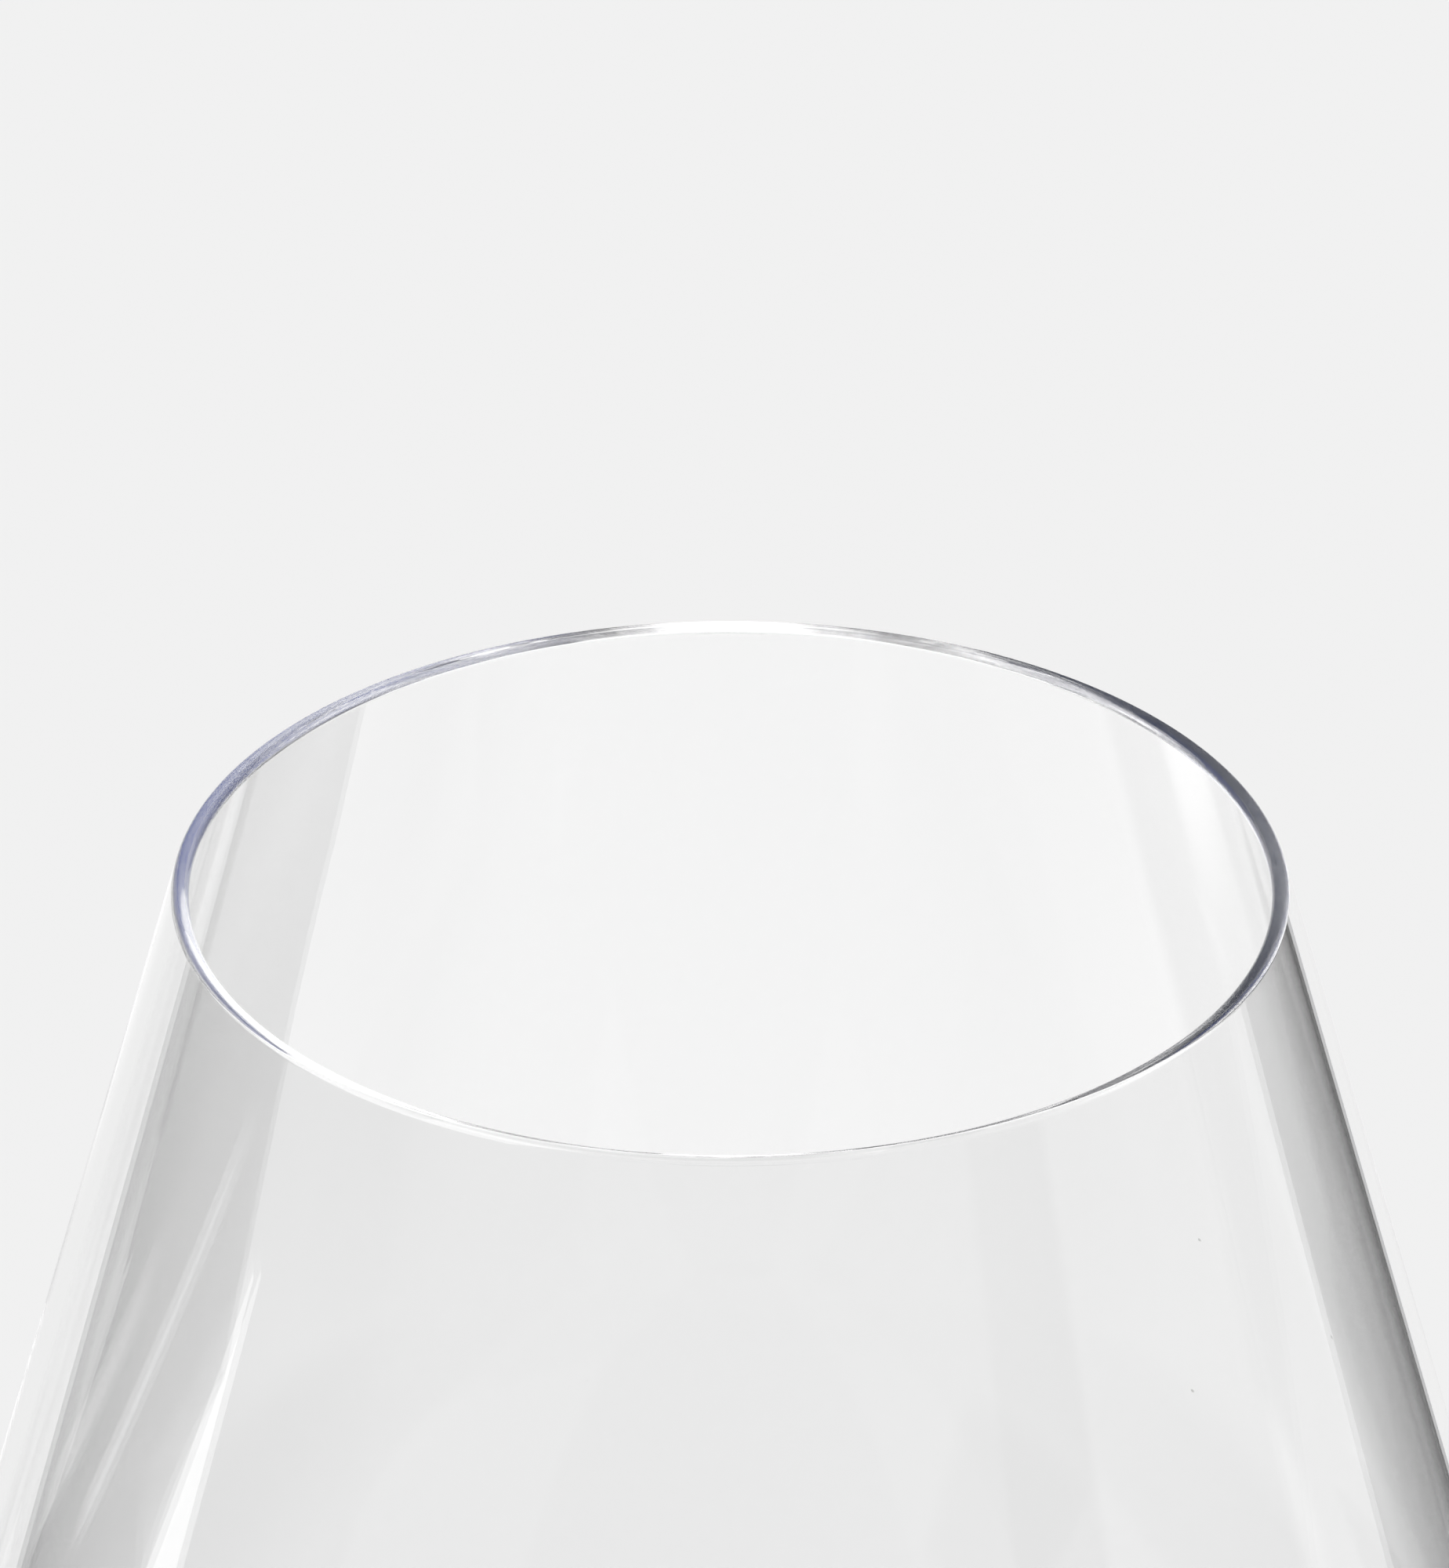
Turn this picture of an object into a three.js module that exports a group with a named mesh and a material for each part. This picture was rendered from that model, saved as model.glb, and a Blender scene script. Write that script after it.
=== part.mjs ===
// Champagne glass: a thin tulip bowl that draws in to its rim, a slim drawn stem and a flat round foot.
// They are three pieces of clear glass, joined hot end to end on one axis, so each seam is a flat round face.
// Millimetres, +Z up. The origin is the middle of the ring that the foot rests on.
import * as THREE from "three";

// Bowl
const RIM_DIAMETER = 52; // outside, at the mouth
const BELLY_DIAMETER = 78; // outside, at the widest place
const BOWL_HEIGHT = 122; // from the seam on the stem to the rim
const TAPER_ANGLE = 15; // degrees that the upper wall leans in from upright
const SHOULDER_RADIUS = 56; // of the round between the belly and the straight upper wall
const WALL = 0.85; // of the blown glass, from the belly up to the rim
const FLOOR = 7; // solid glass between the seam and the inside of the bowl
const BELLY_REACH = 33; // how far below the belly the lower bowl is pulled upright
const BASE_REACH = 14; // how far above the seam the lower bowl is pulled along its lean there
const BOTTOM_REACH = 9; // how far from the axis the rounded bottom of the inside is pulled level

// Stem
const STEM_LENGTH = 110; // seam to seam
const STEM_DIAMETER = 5.2; // at its slimmest
const BOWL_SEAM_DIAMETER = 8.4; // where the stem meets the bowl
const BOWL_SEAM_LEAN = 24; // degrees from upright of the outside at that seam
const UPPER_FLARE = 34; // length over which the stem widens to the bowl
const FOOT_SEAM_DIAMETER = 8.8; // where the stem meets the foot
const FOOT_SEAM_LEAN = 28; // degrees from upright of the outside at that seam
const LOWER_FLARE = 22; // length over which the stem widens to the foot

// Foot
const FOOT_DIAMETER = 76;
const FOOT_HEIGHT = 8; // from the table to the seam on the stem
const FOOT_EDGE = 1.9; // thickness at the rounded edge
const FOOT_FALL = 5; // degrees that the upper face still falls where it reaches the edge
const APRON_REACH = 26; // how far in from the edge the upper face is pulled along that fall
const FOOT_HOLLOW = 1.4; // how far the underside is domed up at the axis
const REST_WIDTH = 4; // width of the flat ring that stands on the table

// Steps that the surfaces of revolution are divided into
const WIDE_STEPS = 64; // around the bowl and the foot
const SLIM_STEPS = 32; // around the stem
const SWEEP_STEPS = 10; // along each long sweep
const ROUND_STEPS = 4; // along each round

const GLASS_TINT = 0xf1f2f5;

const rimRadius = RIM_DIAMETER / 2;
const bellyRadius = BELLY_DIAMETER / 2;
const bowlSeamRadius = BOWL_SEAM_DIAMETER / 2;
const slimRadius = STEM_DIAMETER / 2;
const footSeamRadius = FOOT_SEAM_DIAMETER / 2;
const taper = THREE.MathUtils.degToRad(TAPER_ANGLE);

const point = (r, z) => new THREE.Vector2(r, z);

// A unit step in the (radius, height) plane that leans away from upright by an angle in degrees.
function leaning(degrees) {
  const angle = THREE.MathUtils.degToRad(degrees);
  return point(Math.sin(angle), Math.cos(angle));
}

// A smooth sweep between two points, leaving the first along one step and reaching the second along another.
function sweep(from, leave, to, reach) {
  return new THREE.CubicBezierCurve(from, from.clone().add(leave), to.clone().sub(reach), to);
}

function arc(centre, radius, startAngle, endAngle) {
  const clockwise = endAngle < startAngle;
  return new THREE.EllipseCurve(centre.x, centre.y, radius, radius, startAngle, endAngle, clockwise);
}

// Joins points and curves, given in order, into one outline with no point twice.
function outline(...stretches) {
  const points = [];
  for (const stretch of stretches) {
    let added = [stretch];
    if (stretch.isEllipseCurve) {
      added = stretch.getPoints(ROUND_STEPS);
    } else if (stretch.isCubicBezierCurve) {
      added = stretch.getPoints(SWEEP_STEPS);
    }
    for (const next of added) {
      if (!points.length || points.at(-1).distanceTo(next) > 1e-6) points.push(next);
    }
  }
  return points;
}

// A solid of revolution about Z. Its outline runs from the axis at the bottom to the axis at the top.
function turned(points, steps) {
  return new THREE.LatheGeometry(points, steps).rotateX(Math.PI / 2);
}

// The bowl stands on its seam at height 0. The inside follows the outside at one wall's thickness from the rim
// to the belly, and below that it runs to a rounded bottom on the axis while the outside closes on the seam.
function bowlGeometry() {
  const shoulderDrop = SHOULDER_RADIUS * Math.sin(taper);
  const shoulderInset = SHOULDER_RADIUS * (1 - Math.cos(taper));
  const coneHeight = (bellyRadius - shoulderInset - rimRadius) / Math.tan(taper);
  const lipRadius = WALL / 2;
  const lipCentre = point(rimRadius - lipRadius, BOWL_HEIGHT - lipRadius);
  const shoulderCentre = point(
    bellyRadius - SHOULDER_RADIUS,
    lipCentre.y - coneHeight - shoulderDrop + lipRadius * Math.sin(taper),
  );

  const seam = point(bowlSeamRadius, 0);
  const belly = point(bellyRadius, shoulderCentre.y);
  const lowerOutside = sweep(
    seam,
    leaning(BOWL_SEAM_LEAN).multiplyScalar(BASE_REACH),
    belly,
    point(0, BELLY_REACH),
  );

  const bottom = point(0, FLOOR);
  const innerBelly = point(bellyRadius - WALL, belly.y);
  const insideReach = (BELLY_REACH * (belly.y - FLOOR)) / belly.y;
  const lowerInside = sweep(innerBelly, point(0, -insideReach), bottom, point(-BOTTOM_REACH, 0));

  return turned(
    outline(
      point(0, 0),
      lowerOutside,
      arc(shoulderCentre, SHOULDER_RADIUS, 0, taper),
      arc(lipCentre, lipRadius, taper, Math.PI / 2),
      arc(lipCentre, lipRadius, Math.PI / 2, Math.PI + taper),
      arc(shoulderCentre, SHOULDER_RADIUS - WALL, taper, 0),
      lowerInside,
    ),
    WIDE_STEPS,
  );
}

// The step along a lean that takes the outside of the stem across from a seam to its slim part.
function flareStep(degrees, seamRadius) {
  const step = leaning(degrees);
  return step.multiplyScalar((seamRadius - slimRadius) / Math.abs(step.x));
}

// The stem stands on the foot's seam at height 0, and is slimmest between its two flares.
function stemGeometry() {
  const lowerFlare = sweep(
    point(footSeamRadius, 0),
    flareStep(-FOOT_SEAM_LEAN, footSeamRadius),
    point(slimRadius, LOWER_FLARE),
    point(0, LOWER_FLARE / 2),
  );
  const upperFlare = sweep(
    point(slimRadius, STEM_LENGTH - UPPER_FLARE),
    point(0, UPPER_FLARE / 2),
    point(bowlSeamRadius, STEM_LENGTH),
    flareStep(BOWL_SEAM_LEAN, bowlSeamRadius),
  );
  return turned(outline(point(0, 0), lowerFlare, upperFlare, point(0, STEM_LENGTH)), SLIM_STEPS);
}

// The foot rests on a flat ring, is domed up inside it, and rises from its rounded edge to the seam on the stem.
function footGeometry() {
  const edgeRadius = FOOT_EDGE / 2;
  const edgeCentre = point(FOOT_DIAMETER / 2 - edgeRadius, edgeRadius);
  const upperEdgeAngle = THREE.MathUtils.degToRad(90 - FOOT_FALL);
  const edge = arc(edgeCentre, edgeRadius, -Math.PI / 2, upperEdgeAngle);
  const hollowRadius = edgeCentre.x - REST_WIDTH;
  const domeRadius = (hollowRadius ** 2 + FOOT_HOLLOW ** 2) / (2 * FOOT_HOLLOW);
  const domeCentre = point(0, FOOT_HOLLOW - domeRadius);
  const underside = arc(domeCentre, domeRadius, Math.PI / 2, Math.acos(hollowRadius / domeRadius));
  const upperFace = sweep(
    edge.getPoint(1),
    leaning(FOOT_FALL - 90).multiplyScalar(APRON_REACH),
    point(footSeamRadius, FOOT_HEIGHT),
    leaning(-FOOT_SEAM_LEAN).multiplyScalar((FOOT_HEIGHT - FOOT_EDGE) / 2),
  );
  return turned(outline(underside, edge, upperFace, point(0, FOOT_HEIGHT)), WIDE_STEPS);
}

function clearGlass() {
  return new THREE.MeshStandardMaterial({
    color: GLASS_TINT,
    roughness: 0.02,
    metalness: 0,
    transparent: true,
    opacity: 0.35,
  });
}

function piece(name, geometry, height) {
  const mesh = new THREE.Mesh(geometry, clearGlass());
  mesh.name = name;
  mesh.position.z = height;
  return mesh;
}

const glass = new THREE.Group();
glass.add(
  piece("foot", footGeometry(), 0),
  piece("stem", stemGeometry(), FOOT_HEIGHT),
  piece("bowl", bowlGeometry(), FOOT_HEIGHT + STEM_LENGTH),
);

export default glass;
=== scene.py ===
"""Champagne glass: a blown tulip bowl, a drawn stem and a round foot of clear crystal, on pale paper.

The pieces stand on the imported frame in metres. The stage's cards are the room that the clear glass mirrors.
"""

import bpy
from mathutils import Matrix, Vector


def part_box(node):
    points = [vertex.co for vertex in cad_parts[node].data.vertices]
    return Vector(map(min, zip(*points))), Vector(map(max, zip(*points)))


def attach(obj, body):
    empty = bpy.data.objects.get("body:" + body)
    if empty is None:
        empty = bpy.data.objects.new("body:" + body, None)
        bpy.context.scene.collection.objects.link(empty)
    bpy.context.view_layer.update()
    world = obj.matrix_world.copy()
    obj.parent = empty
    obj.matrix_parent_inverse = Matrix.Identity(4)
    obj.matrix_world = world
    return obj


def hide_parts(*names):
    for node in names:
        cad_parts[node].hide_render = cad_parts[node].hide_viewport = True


bl_info = {
    "name": "Champagne glass",
    "version": (1, 0, 0),
    "blender": (4, 5, 0),
    "location": "3D View > Sidebar > Glass",
    "description": "Makes a clear stemmed champagne glass on its packed frame, with a pale studio stage",
    "category": "Object",
}

from math import acos, cos, pi, radians, sin, tan

import bmesh
import bpy
from bpy.props import FloatProperty, FloatVectorProperty, PointerProperty
from mathutils import Vector

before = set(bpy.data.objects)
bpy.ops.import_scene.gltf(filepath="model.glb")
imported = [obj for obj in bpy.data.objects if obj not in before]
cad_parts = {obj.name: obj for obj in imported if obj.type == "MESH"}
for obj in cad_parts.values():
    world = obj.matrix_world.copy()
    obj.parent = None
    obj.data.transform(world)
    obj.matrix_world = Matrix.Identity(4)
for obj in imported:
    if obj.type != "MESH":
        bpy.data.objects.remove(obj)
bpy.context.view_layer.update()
MM = 0.001
# Points nearer than this, in metres, count as one.
TOUCHING = 1e-8
WHITE = (1, 1, 1)
FOOT_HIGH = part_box("foot")[1]
BOWL_LOW, BOWL_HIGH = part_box("bowl")


def length(name, description, millimetres):
    """A size that a user would change, given in millimetres and kept in metres."""
    return FloatProperty(name=name, description=description, default=millimetres * MM, min=0, unit="LENGTH")


def angle(name, description, degrees):
    """An angle that a user would change, given in degrees and kept in radians."""
    return FloatProperty(name=name, description=description, default=radians(degrees), subtype="ANGLE")


class GlassSizes(bpy.types.PropertyGroup):
    """Sizes of the three pieces. Overall heights and widths come from the frame."""

    rim_diameter: length("Rim", "Outside of the mouth", 52)
    taper: angle("Taper", "How far the upper wall leans in", 15)
    shoulder_radius: length("Shoulder", "Round between the belly and the upper wall", 56)
    wall: length("Wall", "Thickness of the blown glass", 0.85)
    floor: length("Bowl floor", "Solid glass under the inside of the bowl", 7)
    belly_reach: length("Belly reach", "How far below the belly the lower bowl is pulled upright", 33)
    base_reach: length("Base reach", "How far above the seam the lower bowl is pulled along its lean", 14)
    bottom_reach: length("Bottom reach", "How far from the axis the inside is pulled level", 9)
    stem_diameter: length("Stem", "Stem at its slimmest", 5.2)
    bowl_seam_diameter: length("Bowl seam", "Where the stem meets the bowl", 8.4)
    bowl_seam_lean: angle("Bowl seam lean", "Lean of the outside at the bowl's seam", 24)
    upper_flare: length("Upper flare", "Length over which the stem widens to the bowl", 34)
    foot_seam_diameter: length("Foot seam", "Where the stem meets the foot", 8.8)
    foot_seam_lean: angle("Foot seam lean", "Lean of the outside at the foot's seam", 28)
    lower_flare: length("Lower flare", "Length over which the stem widens to the foot", 22)
    foot_edge: length("Foot edge", "Thickness of the foot's rounded edge", 1.9)
    foot_fall: angle("Foot fall", "How far the foot still falls at its edge", 5)
    apron_reach: length("Apron reach", "How far in from the edge the foot is pulled along its fall", 26)
    foot_hollow: length("Foot hollow", "Rise of the domed underside", 1.4)
    rest_width: length("Rest ring", "Width of the flat ring that stands on the table", 4)


def leaning(lean):
    """A unit step in the (radius, height) plane that leans away from upright."""
    return Vector((sin(lean), cos(lean)))


def facing(step):
    """The way the surface faces where the outline runs along a step with the glass on its left."""
    return Vector((step.y, -step.x)).normalized()


def sweep(start, leave, end, reach, steps):
    """Points and facings of a smooth cubic that leaves one point and reaches the next along given steps."""
    near, far = start + leave, end - reach
    made = []
    for i in range(steps + 1):
        t = i / steps
        s = 1 - t
        place = s**3 * start + 3 * s * s * t * near + 3 * s * t * t * far + t**3 * end
        step = s * s * (near - start) + 2 * s * t * (far - near) + t * t * (end - far)
        made.append((place, facing(step)))
    return made


def arc(centre, radius, first, last, steps):
    """Points and facings of a round stretch; a positive turn bulges out of the glass, a negative one in."""
    side = 1 if last > first else -1
    made = []
    for i in range(steps + 1):
        turn = first + (last - first) * i / steps
        out = Vector((cos(turn), sin(turn)))
        made.append((centre + out * radius, out * side))
    return made


def straight(start, end, steps):
    """Points and facings of a straight stretch."""
    out = facing(end - start)
    return [(start.lerp(end, i / steps), out) for i in range(steps + 1)]


def bowl_outline(sizes):
    """The bowl's section, from the seam up the outside, over the lip and down the inside to the axis."""
    base, rim = BOWL_LOW.z, BOWL_HIGH.z
    rim_radius = sizes.rim_diameter / 2
    belly_radius = BOWL_HIGH.x
    taper = sizes.taper
    lip_radius = sizes.wall / 2
    lip_centre = Vector((rim_radius - lip_radius, rim - lip_radius))
    inset = sizes.shoulder_radius * (1 - cos(taper))
    cone_height = (belly_radius - inset - rim_radius) / tan(taper)
    belly_height = (
        lip_centre.y - cone_height - sizes.shoulder_radius * sin(taper) + lip_radius * sin(taper)
    )
    shoulder_centre = Vector((belly_radius - sizes.shoulder_radius, belly_height))

    seam = Vector((sizes.bowl_seam_diameter / 2, base))
    belly = Vector((belly_radius, belly_height))
    base_step = leaning(sizes.bowl_seam_lean) * sizes.base_reach
    belly_step = Vector((0, sizes.belly_reach))
    lower_outside = sweep(seam, base_step, belly, belly_step, steps=48)
    shoulder = arc(shoulder_centre, sizes.shoulder_radius, 0, taper, steps=12)
    lip = arc(lip_centre, lip_radius, taper, pi + taper, steps=24)
    inner_radius = sizes.shoulder_radius - sizes.wall
    inner_shoulder = arc(shoulder_centre, inner_radius, taper, 0, steps=12)
    bottom = Vector((0, base + sizes.floor))
    inner_belly = Vector((belly_radius - sizes.wall, belly_height))
    depth = belly_height - base
    inside_step = Vector((0, -sizes.belly_reach * (depth - sizes.floor) / depth))
    bottom_step = Vector((-sizes.bottom_reach, 0))
    lower_inside = sweep(inner_belly, inside_step, bottom, bottom_step, steps=48)
    cone = straight(shoulder[-1][0], lip[0][0], steps=16)
    inner_cone = straight(lip[-1][0], inner_shoulder[0][0], steps=16)
    return [*lower_outside, *shoulder, *cone, *lip, *inner_cone, *inner_shoulder, *lower_inside]


def stem_outline(sizes):
    """The stem's outside, from the foot's seam up to the bowl's."""
    low, high = FOOT_HIGH.z, BOWL_LOW.z
    slim = sizes.stem_diameter / 2
    foot_seam, bowl_seam = sizes.foot_seam_diameter / 2, sizes.bowl_seam_diameter / 2
    lower_step = leaning(-sizes.foot_seam_lean) * ((foot_seam - slim) / sin(sizes.foot_seam_lean))
    upper_step = leaning(sizes.bowl_seam_lean) * ((bowl_seam - slim) / sin(sizes.bowl_seam_lean))
    lower_end = Vector((slim, low + sizes.lower_flare))
    upper_end = Vector((slim, high - sizes.upper_flare))
    lower_start = Vector((foot_seam, low))
    upper_top = Vector((bowl_seam, high))
    lower = sweep(lower_start, lower_step, lower_end, Vector((0, sizes.lower_flare / 2)), steps=24)
    upper = sweep(upper_end, Vector((0, sizes.upper_flare / 2)), upper_top, upper_step, steps=32)
    return [*lower, *straight(lower_end, upper_end, steps=12), *upper]


def foot_outline(sizes):
    """The foot's section, from the domed underside over the rest ring and the edge up to the stem's seam."""
    top = FOOT_HIGH.z
    edge_radius = sizes.foot_edge / 2
    edge_centre = Vector((FOOT_HIGH.x - edge_radius, edge_radius))
    hollow_radius = edge_centre.x - sizes.rest_width
    dome_radius = (hollow_radius**2 + sizes.foot_hollow**2) / (2 * sizes.foot_hollow)
    dome_centre = Vector((0, sizes.foot_hollow - dome_radius))
    underside = arc(dome_centre, dome_radius, pi / 2, acos(hollow_radius / dome_radius), steps=24)
    ring = straight(underside[-1][0], Vector((edge_centre.x, 0)), steps=4)
    edge = arc(edge_centre, edge_radius, -pi / 2, pi / 2 - sizes.foot_fall, steps=16)
    seam = Vector((sizes.foot_seam_diameter / 2, top))
    apron_step = leaning(sizes.foot_fall - pi / 2) * sizes.apron_reach
    seam_step = leaning(-sizes.foot_seam_lean) * ((top - sizes.foot_edge) / 2)
    upper = sweep(edge[-1][0], apron_step, seam, seam_step, steps=48)
    return [*underside, *ring, *edge, *upper]


# Faces round the glass.
TURN_STEPS = 256


def turned(height_step, turn):
    """A (radius, height) step swung round the axis."""
    return Vector((height_step.x * cos(turn), height_step.x * sin(turn), height_step.y))


def revolve(name, outline):
    """A solid of revolution about Z with true facings.

    A seam that the outline leaves open is closed by a flat disc, which takes the second material.
    """
    mesh = bmesh.new()
    turns = [2 * pi * i / TURN_STEPS for i in range(TURN_STEPS)]
    normals = []

    def ring(place):
        if place.x < TOUCHING:
            return [mesh.verts.new((0, 0, place.y))] * TURN_STEPS
        return [mesh.verts.new(turned(place, turn)) for turn in turns]

    lower_place, lower_out = outline[0]
    lower = first = ring(lower_place)
    for upper_place, upper_out in outline[1:]:
        if (upper_place - lower_place).length < TOUCHING:
            lower_out = upper_out
            continue
        upper = ring(upper_place)
        for i in range(TURN_STEPS):
            j = (i + 1) % TURN_STEPS
            around = [
                (lower[i], turned(lower_out, turns[i])),
                (lower[j], turned(lower_out, turns[j])),
                (upper[j], turned(upper_out, turns[j])),
                (upper[i], turned(upper_out, turns[i])),
            ]
            if lower[0] is lower[1]:
                del around[1]
            if upper[0] is upper[1]:
                del around[-1]
            face = mesh.faces.new([corner for corner, out in around])
            face.smooth = True
            normals += [out for corner, out in around]
        lower, lower_place, lower_out = upper, upper_place, upper_out
    for seam, out in ((first[::-1], Vector((0, 0, -1))), (lower, Vector((0, 0, 1)))):
        if seam[0] is not seam[1]:
            disc = mesh.faces.new(seam)
            disc.material_index = 1
            normals += [out] * TURN_STEPS
    data = bpy.data.meshes.new(name)
    mesh.to_mesh(data)
    mesh.free()
    data.normals_split_custom_set(normals)
    return data


def linear(code):
    """An sRGB hex colour as linear red, green and blue."""
    parts = [int(code[i : i + 2], 16) / 255 for i in (1, 3, 5)]
    return tuple(part / 12.92 if part <= 0.04045 else ((part + 0.055) / 1.055) ** 2.4 for part in parts)


def colour(name, description, code):
    """A colour that a user would change, given as sRGB hex and kept linear."""
    return FloatVectorProperty(
        name=name, description=description, default=linear(code), min=0, max=1, size=3, subtype="COLOR"
    )


class GlassLook(bpy.types.PropertyGroup):
    """Colours of the crystal and of the studio."""

    crystal: colour("Crystal", "Colour of light that has passed through one wall", "#fcfcfc")
    dust: colour("Dust", "Grey of the few specks of dust and the pinholes in the glass", "#9a9a98")
    shadow: colour("Shadow", "What one face of the glass lets through to the paper below", "#f0f0f0")
    paper: colour("Paper", "Pale paper that the glass stands on", "#f1f1f1")
    room: colour("Room", "Dim ceiling and walls that the glass mirrors", "#56565a")
    window: colour("Window", "Cool daylight that runs round inside the rim at the left", "#1a3a90")
    slate: colour("Slate", "Dim corner that runs round inside the rim at the right", "#1c2434")


def add(tree, kind, links=None, **settings):
    """Adds a node with its settings. A link joins an input, by name or number, to another node's output."""
    node = tree.nodes.new(kind)
    for name, value in settings.items():
        setattr(node, name, value)
    for name, value in (links or {}).items():
        if isinstance(value, bpy.types.NodeSocket):
            tree.links.new(value, node.inputs[name])
        else:
            node.inputs[name].default_value = value
    return node


def opaque(three):
    """A colour as a socket takes it, with its alpha."""
    return (*three, 1)


def new_material(name):
    """An empty material and its node tree."""
    material = bpy.data.materials.new(name)
    material.use_nodes = True
    material.node_tree.nodes.clear()
    return material, material.node_tree


# One cell of 6 mm in five, with a chance above 0.8, holds a speck about 0.2 mm across. It is dark out to its
# core and fades to its edge, both in cells from its middle.
SPECK_CELL = 6 * MM
SPECK_CORE = 0.012
SPECK_EDGE = 0.022
SPECK_CHANCE = 0.8


def crystal(name, look, wave_lengths, wave_height):
    """Lead-free crystal: clear, hard and fire-polished, with faint waves from its making and a few specks.

    To the eye it is a sharp mirror at its edges and clear elsewhere. The waves, whose lengths across, across
    and upright and whose height are in millimetres, bend what it mirrors a little.
    """
    material, tree = new_material(name)
    place = add(tree, "ShaderNodeTexCoord").outputs["Object"]
    scales = [1 / (size * MM) for size in wave_lengths]
    scaled = add(tree, "ShaderNodeVectorMath", {0: place, 1: scales}, operation="MULTIPLY")
    waves = add(tree, "ShaderNodeTexNoise", {"Vector": scaled.outputs[0], "Scale": 1.0, "Detail": 1.0})
    bump = add(
        tree,
        "ShaderNodeBump",
        {"Strength": 1.0, "Distance": wave_height * MM, "Height": waves.outputs["Fac"]},
    )
    cells = add(tree, "ShaderNodeTexVoronoi", {"Vector": place, "Scale": 1 / SPECK_CELL})
    chance = add(tree, "ShaderNodeSeparateColor", {0: cells.outputs["Color"]})
    near = add(
        tree,
        "ShaderNodeMapRange",
        {
            "Value": cells.outputs["Distance"],
            "From Min": SPECK_CORE,
            "From Max": SPECK_EDGE,
            "To Min": 1.0,
            "To Max": 0.0,
        },
    )
    chosen = add(tree, "ShaderNodeMath", {0: chance.outputs[0], 1: SPECK_CHANCE}, operation="GREATER_THAN")
    speck = add(tree, "ShaderNodeMath", {0: near.outputs[0], 1: chosen.outputs[0]}, operation="MULTIPLY")
    tint = add(
        tree,
        "ShaderNodeMix",
        {0: speck.outputs[0], 6: opaque(look.crystal), 7: opaque(look.dust)},
        data_type="RGBA",
    )
    glass = add(
        tree,
        "ShaderNodeBsdfPrincipled",
        {
            "Base Color": tint.outputs[2],
            "Roughness": 0.0,
            "IOR": 1.52,
            "Transmission Weight": 1.0,
            "Normal": bump.outputs[0],
        },
    )
    # Light on its way to the paper goes on through the glass, so the foot's shadow is pale and not black.
    path = add(tree, "ShaderNodeLightPath")
    toward_paper = add(
        tree,
        "ShaderNodeMath",
        {0: path.outputs["Is Shadow Ray"], 1: path.outputs["Is Diffuse Ray"]},
        operation="MAXIMUM",
    )
    veil = add(tree, "ShaderNodeBsdfTransparent", {"Color": opaque(look.shadow)})
    seen = add(
        tree,
        "ShaderNodeMixShader",
        {0: toward_paper.outputs[0], 1: glass.outputs[0], 2: veil.outputs[0]},
    )
    add(tree, "ShaderNodeOutputMaterial", {"Surface": seen.outputs[0]})
    return material


def seam_glass():
    """The hot join between two pieces, where glass goes on into glass and nothing shows."""
    material, tree = new_material("fused_crystal_seam")
    clear = add(tree, "ShaderNodeBsdfTransparent", {"Color": opaque(WHITE)})
    add(tree, "ShaderNodeOutputMaterial", {"Surface": clear.outputs[0]})
    return material


def add_piece(name, outline, material):
    """A piece of the glass in place of its CAD node."""
    data = revolve(name, outline)
    data.materials.append(material)
    data.materials.append(seam_glass())
    piece = bpy.data.objects.new(name, data)
    bpy.context.scene.collection.objects.link(piece)
    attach(piece, "root")
    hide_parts(name)
    return piece


class GLASS_OT_bowl(bpy.types.Operator):
    """Makes the blown bowl: a tulip that leans in to a thin, cut and fire-polished rim"""

    bl_idname = "glass.bowl"
    bl_label = "Bowl"

    def execute(self, context):
        look = context.scene.glass_look
        blown = crystal("blown_crystal", look, wave_lengths=(24, 24, 60), wave_height=0.003)
        add_piece("bowl", bowl_outline(context.scene.glass_sizes), blown)
        return {"FINISHED"}


class GLASS_OT_stem(bpy.types.Operator):
    """Makes the slim stem, drawn out of the hot bowl"""

    bl_idname = "glass.stem"
    bl_label = "Stem"

    def execute(self, context):
        look = context.scene.glass_look
        drawn = crystal("drawn_crystal", look, wave_lengths=(1.5, 1.5, 40), wave_height=0.004)
        add_piece("stem", stem_outline(context.scene.glass_sizes), drawn)
        return {"FINISHED"}


class GLASS_OT_foot(bpy.types.Operator):
    """Makes the round foot, spun out flat from a gather of hot glass"""

    bl_idname = "glass.foot"
    bl_label = "Foot"

    def execute(self, context):
        look = context.scene.glass_look
        spun = crystal("spun_crystal", look, wave_lengths=(18, 18, 18), wave_height=0.008)
        add_piece("foot", foot_outline(context.scene.glass_sizes), spun)
        return {"FINISHED"}


def polar(degrees, distance, height):
    """A point round the glass: degrees run from straight behind it to the right."""
    turn = radians(degrees)
    return Vector((distance * sin(turn), distance * cos(turn), height))


# Light Path counts the mirrors that a ray has met, so more than half a mirror is one or more.
HALF_A_MIRROR = 0.5


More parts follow.
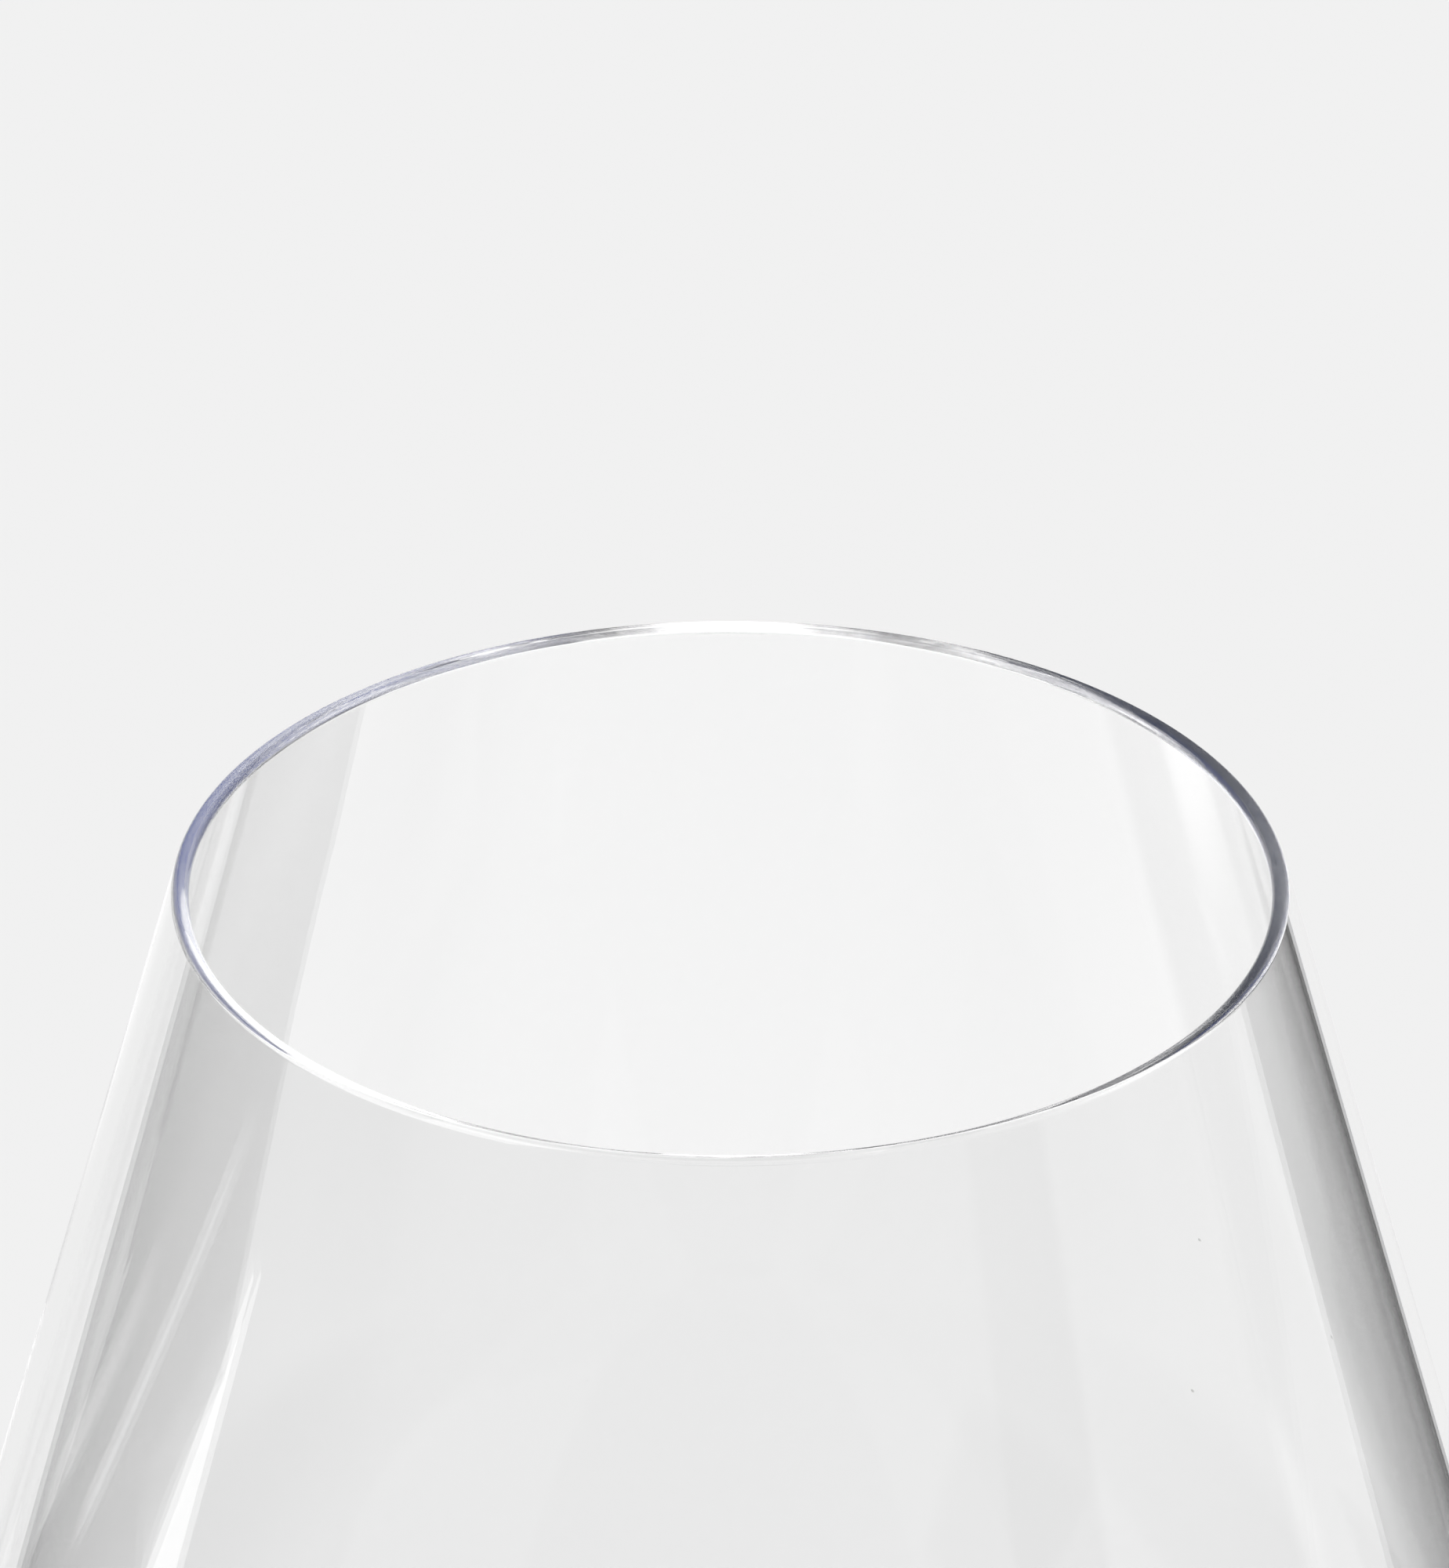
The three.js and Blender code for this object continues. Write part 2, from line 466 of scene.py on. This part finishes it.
def card_material(name, tint, levels, soft):
    """A studio card that only mirrored light meets, so that plain paper shows through the glass."""
    material, tree = new_material(name)
    material.cycles.emission_sampling = "NONE"
    path = add(tree, "ShaderNodeLightPath")
    mirrored = add(
        tree,
        "ShaderNodeMath",
        {0: path.outputs["Glossy Depth"], 1: HALF_A_MIRROR},
        operation="GREATER_THAN",
    )
    across = add(tree, "ShaderNodeSeparateXYZ", {0: add(tree, "ShaderNodeTexCoord").outputs["UV"]})
    shown = mirrored.outputs[0]
    for side in across.outputs[:2] if soft else ():
        # How far in from the nearer edge, as a share of the card.
        inset = add(tree, "ShaderNodeMath", {0: side, 1: 0.5}, operation="PINGPONG")
        fade = add(
            tree,
            "ShaderNodeMapRange",
            {"Value": inset.outputs[0], "From Max": soft},
            interpolation_type="SMOOTHSTEP",
        )
        shown = add(tree, "ShaderNodeMath", {0: shown, 1: fade.outputs[0]}, operation="MULTIPLY").outputs[0]
    level = add(
        tree,
        "ShaderNodeMapRange",
        {"Value": across.outputs[0], "To Min": levels[0], "To Max": levels[1]},
    )
    card = add(tree, "ShaderNodeEmission", {"Color": opaque(tint), "Strength": level.outputs[0]})
    clear = add(tree, "ShaderNodeBsdfTransparent")
    seen = add(tree, "ShaderNodeMixShader", {0: shown, 1: clear.outputs[0], 2: card.outputs[0]})
    add(tree, "ShaderNodeOutputMaterial", {"Surface": seen.outputs[0]})
    return material


# A straight edge of a card is cut into this many steps, so that one with slanted sides shades evenly.
CARD_STEPS = 8


def between(start, end):
    """Points from one corner of a card to the next."""
    return [start.lerp(end, i / CARD_STEPS) for i in range(CARD_STEPS + 1)]


def add_card(name, low, high, levels, soft=0, tint=WHITE):
    """A card between a low and a high edge, each a list of points from left to right."""
    data = bpy.data.meshes.new(name)
    count = len(low)
    columns = [between(start, end) for start, end in zip(low, high)]
    points = [column[row] for row in range(CARD_STEPS + 1) for column in columns]
    starts = [row * count + i for row in range(CARD_STEPS) for i in range(count - 1)]
    data.from_pydata(points, [], [(i, i + 1, i + count + 1, i + count) for i in starts])
    across = data.uv_layers.new(name="across").uv
    for loop in data.loops:
        row, column = divmod(loop.vertex_index, count)
        across[loop.index].vector = (column / (count - 1), row / CARD_STEPS)
    data.materials.append(card_material(name, tint, levels, soft))
    card = bpy.data.objects.new(name, data)
    card.visible_camera = False
    card.visible_diffuse = False
    card.visible_shadow = False
    bpy.context.scene.collection.objects.link(card)


# Cards that stand round the glass: name, from and to in degrees, distance and heights in metres, and the
# level at either end, where 1 is white.
STANDING_CARDS = (
    ("dark_room", 134, 270, 1.0, 0.0, 0.28, (0.25, 0.0)),
    ("dark_stripe", 118, 134, 1.0, 0.0, 0.28, (0.0, 0.0)),
    ("right_flag", 27.5, 61, 0.4, 0.0, 0.25, (0.0, 0.0)),
    ("right_wall", 61, 80, 1.0, 0.0, 0.28, (0.8, 0.72)),
    ("right_dusk", 80, 118, 1.0, 0.0, 0.28, (0.4, 0.4)),
    ("left_soft_box", -138, -70, 1.0, 0.42, 2.0, (2.5, 2.5)),
    ("right_soft_box", 63, 100, 1.0, 0.50, 1.1, (1.6, 1.6)),
)
# Cards that lie on the paper, each a millimetre over the one before: name, corners in metres from near left
# round to far left, the level at either end, and the share of the card over which its edges fade.
LYING_CARDS = (
    ("table", (-0.60, -0.60), (0.30, -0.60), (0.30, 0.30), (-0.60, 0.30), (1.55, 1.55), 0),
    ("table_left", (-0.32, -0.10), (-0.06, -0.10), (-0.06, 0.09), (-0.28, 0.12), (1.1, 1.5), 0.2),
    ("grey_left", (-0.32, -0.32), (-0.16, -0.32), (-0.09, -0.08), (-0.18, -0.07), (1.2, 1.2), 0.2),
    ("grey_right_near", (0.08, -0.10), (0.34, -0.10), (0.34, 0.20), (0.08, 0.20), (1.1, 1.1), 0.35),
    ("black_right", (0.120, 0.070), (0.230, 0.078), (0.215, 0.215), (0.08, 0.215), (0.05, 0.18), 0),
    ("grey_right_back", (0.04, 0.215), (0.20, 0.215), (0.14, 0.30), (0.02, 0.30), (0.95, 0.95), 0),
    ("grey_back_left", (-0.19, 0.13), (-0.08, 0.16), (-0.01, 0.36), (-0.13, 0.36), (0.9, 0.4), 0.2),
    ("white_back_left", (-0.42, 0.38), (0.08, 0.38), (0.08, 0.62), (-0.52, 0.62), (0.88, 0.85), 0),
    ("white_back_mid", (-0.14, 0.40), (0.02, 0.40), (0.02, 0.52), (-0.14, 0.52), (1.2, 1.2), 0.25),
    ("grey_left_back", (-0.23, 0.075), (-0.09, 0.075), (-0.09, 0.17), (-0.23, 0.17), (0.85, 0.85), 0.2),
    ("grey_back_mid", (-0.12, 0.19), (-0.01, 0.19), (-0.015, 0.345), (-0.08, 0.345), (0.3, 0.3), 0.1),
    ("flag_foot", (0.215, 0.10), (0.36, 0.19), (0.185, 0.355), (0.105, 0.215), (0.1, 0.1), 0),
)
# A black board upright at the left with gaps of light in it: its place, then each name, its corners in metres
# as depth and height, low near, low far, high near, high far, the level at either end, and the fading share.
BOARD_PLACE = -0.30
BOARD_CARDS = (
    ("left_board", (-0.16, 0.0), (0.307, 0.0), (-0.16, 0.25), (0.307, 0.25), (0.0, 0.1), 0),
    ("strip_glow", (0.040, 0.150), (0.080, 0.150), (-0.004, 0.184), (0.004, 0.184), (0.6, 0.2), 0),
    ("strip_light", (0.019, 0.150), (0.050, 0.150), (-0.005, 0.184), (-0.003, 0.184), (2.0, 2.0), 0),
    ("thin_gap", (0.038, 0.184), (0.175, 0.1085), (0.038, 0.189), (0.175, 0.1135), (0.8, 0.8), 0.2),
    ("broad_gap", (0.135, 0.144), (0.270, 0.069), (0.135, 0.152), (0.270, 0.077), (0.4, 0.6), 0.2),
)
# Small cards that hang just over the rim, across the view: name, left and right, depth at the foot and at the
# top, low and high, in millimetres from the middle of the rim, the level at either end, and their colour.
RIM_CARDS = (
    ("rim_grey_left", -100, -39, 37, 37, 1.5, 32, (0.7, 0.7), None),
    ("rim_blue", -39, -8, 37, 37, 1.5, 80, (1.0, 1.0), "window"),
    ("rim_grey_mid", -8, 2, 37, 37, 1.5, 19, (0.5, 0.5), None),
    ("rim_white_front", -60, 0, -2, -2, 1.5, 70, (1.5, 1.5), None),
    ("rim_slate", 19.5, 36, 10, -8, 1.5, 42, (1.0, 1.0), "slate"),
)
# A divider over the mouth, pale to the left and dark to the right, that keeps the slate off the left of the
# rim: name, side, near and far, low and high, in millimetres from the middle of the rim, and its levels.
RIM_SIDES = (
    ("divider_pale", 7.5, -26, 10, 1.5, 35, (1.3, 1.3)),
    ("divider_dark", 8.0, -26, 10, 1.5, 35, (0.15, 0.15)),
)


# The paper reaches this far in metres, and lies a hair below the rest ring, so no two faces share a plane.
PAPER_REACH = 12
PAPER_LEVEL = -0.05 * MM
# A standing card bends in steps of about this many degrees.
CARD_BEND = 3
# Light that runs round inside the rim meets its faces hundreds of times before it leaves.
GLASS_BOUNCES = 1000
CLEAR_BOUNCES = 32
# The camera looks down on the rim from a metre away, a little above its middle and to the left of it.
CAMERA_LENS = 494.3
CAMERA_SENSOR = 36
CAMERA_FALL = 28.75
CAMERA_RAISE = 4.62 * MM
CAMERA_ASIDE = 0.27 * MM


def add_paper(scene, look):
    """Seamless photographic paper: matt and even, so it gives a pale ground and keeps the soft shadow."""
    paper, tree = new_material("seamless_paper")
    matt = add(tree, "ShaderNodeBsdfDiffuse", {"Color": opaque(look.paper)})
    add(tree, "ShaderNodeOutputMaterial", {"Surface": matt.outputs[0]})
    data = bpy.data.meshes.new("paper")
    sides = ((-1, -1), (1, -1), (1, 1), (-1, 1))
    corners = [(x * PAPER_REACH, y * PAPER_REACH, PAPER_LEVEL) for x, y in sides]
    data.from_pydata(corners, [], [(0, 1, 2, 3)])
    data.materials.append(paper)
    floor = bpy.data.objects.new("paper", data)
    scene.collection.objects.link(floor)


def add_cards(look, rim):
    """The room that the glass mirrors, as cards round it, on the paper, at its left and over its rim."""
    for name, start, end, distance, low, high, levels in STANDING_CARDS:
        steps = max(2, round(abs(end - start) / CARD_BEND))
        turns = [start + (end - start) * i / steps for i in range(steps + 1)]
        low_edge = [polar(turn, distance, low) for turn in turns]
        high_edge = [polar(turn, distance, high) for turn in turns]
        add_card(name, low_edge, high_edge, levels)
    for layer, (name, near_left, near_right, far_right, far_left, levels, soft) in enumerate(LYING_CARDS, 1):
        corners = (near_left, near_right, far_left, far_right)
        corners = [Vector((*corner, layer * MM)) for corner in corners]
        add_card(name, between(*corners[:2]), between(*corners[2:]), levels, soft)
    for layer, (name, *corners, levels, soft) in enumerate(BOARD_CARDS):
        corners = [Vector((BOARD_PLACE + layer * MM / 2, *corner)) for corner in corners]
        add_card(name, between(*corners[:2]), between(*corners[2:]), levels, soft)
    for name, left, right, foot, top, low, high, levels, tint in RIM_CARDS:
        heights = ((foot, low), (top, high))
        ends = [[rim + Vector((x, *height)) * MM for x in (left, right)] for height in heights]
        shade = getattr(look, tint) if tint else WHITE
        add_card(name, *[between(*edge) for edge in ends], levels, tint=shade)
    for name, side, near, far, low, high, levels in RIM_SIDES:
        ends = [[rim + Vector((side, y, z)) * MM for y in (near, far)] for z in (low, high)]
        add_card(name, *[between(*edge) for edge in ends], levels)


def add_studio_light(scene, look):
    """Even white light from all round. The camera sees it as pale as the paper, mirrors as a dim room."""
    world = bpy.data.worlds.new("soft_studio")
    world.use_nodes = True
    tree = world.node_tree
    tree.nodes.clear()
    path = add(tree, "ShaderNodeLightPath")
    seen = path.outputs["Is Camera Ray"]
    for ray in ("Is Glossy Ray", "Is Transmission Ray"):
        either = add(tree, "ShaderNodeMath", {0: seen, 1: path.outputs[ray]}, operation="MAXIMUM")
        seen = either.outputs[0]
    mirrored = add(
        tree,
        "ShaderNodeMath",
        {0: path.outputs["Glossy Depth"], 1: HALF_A_MIRROR},
        operation="GREATER_THAN",
    )
    shown = add(
        tree,
        "ShaderNodeMix",
        {0: mirrored.outputs[0], 6: opaque(look.paper), 7: opaque(look.room)},
        data_type="RGBA",
    )
    sky = add(tree, "ShaderNodeMix", {0: seen, 6: opaque(WHITE), 7: shown.outputs[2]}, data_type="RGBA")
    light = add(tree, "ShaderNodeBackground", {"Color": sky.outputs[2], "Strength": 1.0})
    add(tree, "ShaderNodeOutputWorld", {"Surface": light.outputs[0]})
    scene.world = world


def add_camera(scene, rim):
    """The photograph's view: a long lens that looks down on the rim and cuts off the lower bowl."""
    camera = bpy.data.objects.new("camera", bpy.data.cameras.new("camera"))
    camera.data.lens = CAMERA_LENS
    camera.data.sensor_fit = "VERTICAL"
    camera.data.sensor_height = CAMERA_SENSOR
    fall = radians(CAMERA_FALL)
    toward = Vector((0, cos(fall), -sin(fall)))
    upward = Vector((0, sin(fall), cos(fall)))
    camera.location = rim - toward + upward * CAMERA_RAISE - Vector((CAMERA_ASIDE, 0, 0))
    camera.rotation_euler = (pi / 2 - fall, 0, 0)
    scene.collection.objects.link(camera)
    scene.camera = camera


class GLASS_OT_stage(bpy.types.Operator):
    """Sets the pale paper, the soft light, the cards that the glass mirrors and the camera"""

    bl_idname = "glass.stage"
    bl_label = "Stage"

    def execute(self, context):
        scene = context.scene
        look = scene.glass_look
        rim = Vector((0, 0, BOWL_HIGH.z))
        add_paper(scene, look)
        add_cards(look, rim)
        add_studio_light(scene, look)
        scene.view_settings.view_transform = "Standard"
        scene.cycles.max_bounces = GLASS_BOUNCES
        scene.cycles.glossy_bounces = GLASS_BOUNCES
        scene.cycles.transmission_bounces = GLASS_BOUNCES
        scene.cycles.transparent_max_bounces = CLEAR_BOUNCES
        add_camera(scene, rim)
        return {"FINISHED"}


class GLASS_PT_panel(bpy.types.Panel):
    """Lists the glass's pieces, sizes and colours"""

    bl_label = "Champagne glass"
    bl_idname = "GLASS_PT_panel"
    bl_space_type = "VIEW_3D"
    bl_region_type = "UI"
    bl_category = "Glass"

    def draw(self, context):
        layout = self.layout
        for operator in OPERATORS:
            layout.operator(operator.bl_idname)
        for group in (context.scene.glass_sizes, context.scene.glass_look):
            column = layout.column()
            for name in group.__annotations__:
                column.prop(group, name)


OPERATORS = (GLASS_OT_foot, GLASS_OT_stem, GLASS_OT_bowl, GLASS_OT_stage)
CLASSES = (GlassSizes, GlassLook, *OPERATORS, GLASS_PT_panel)


def register():
    for made in CLASSES:
        bpy.utils.register_class(made)
    bpy.types.Scene.glass_sizes = PointerProperty(type=GlassSizes)
    bpy.types.Scene.glass_look = PointerProperty(type=GlassLook)


def unregister():
    del bpy.types.Scene.glass_look
    del bpy.types.Scene.glass_sizes
    for made in reversed(CLASSES):
        bpy.utils.unregister_class(made)


def main():
    register()
    bpy.ops.glass.foot()
    bpy.ops.glass.stem()
    bpy.ops.glass.bowl()
    bpy.ops.glass.stage()


if __name__ == "__main__":
    main()
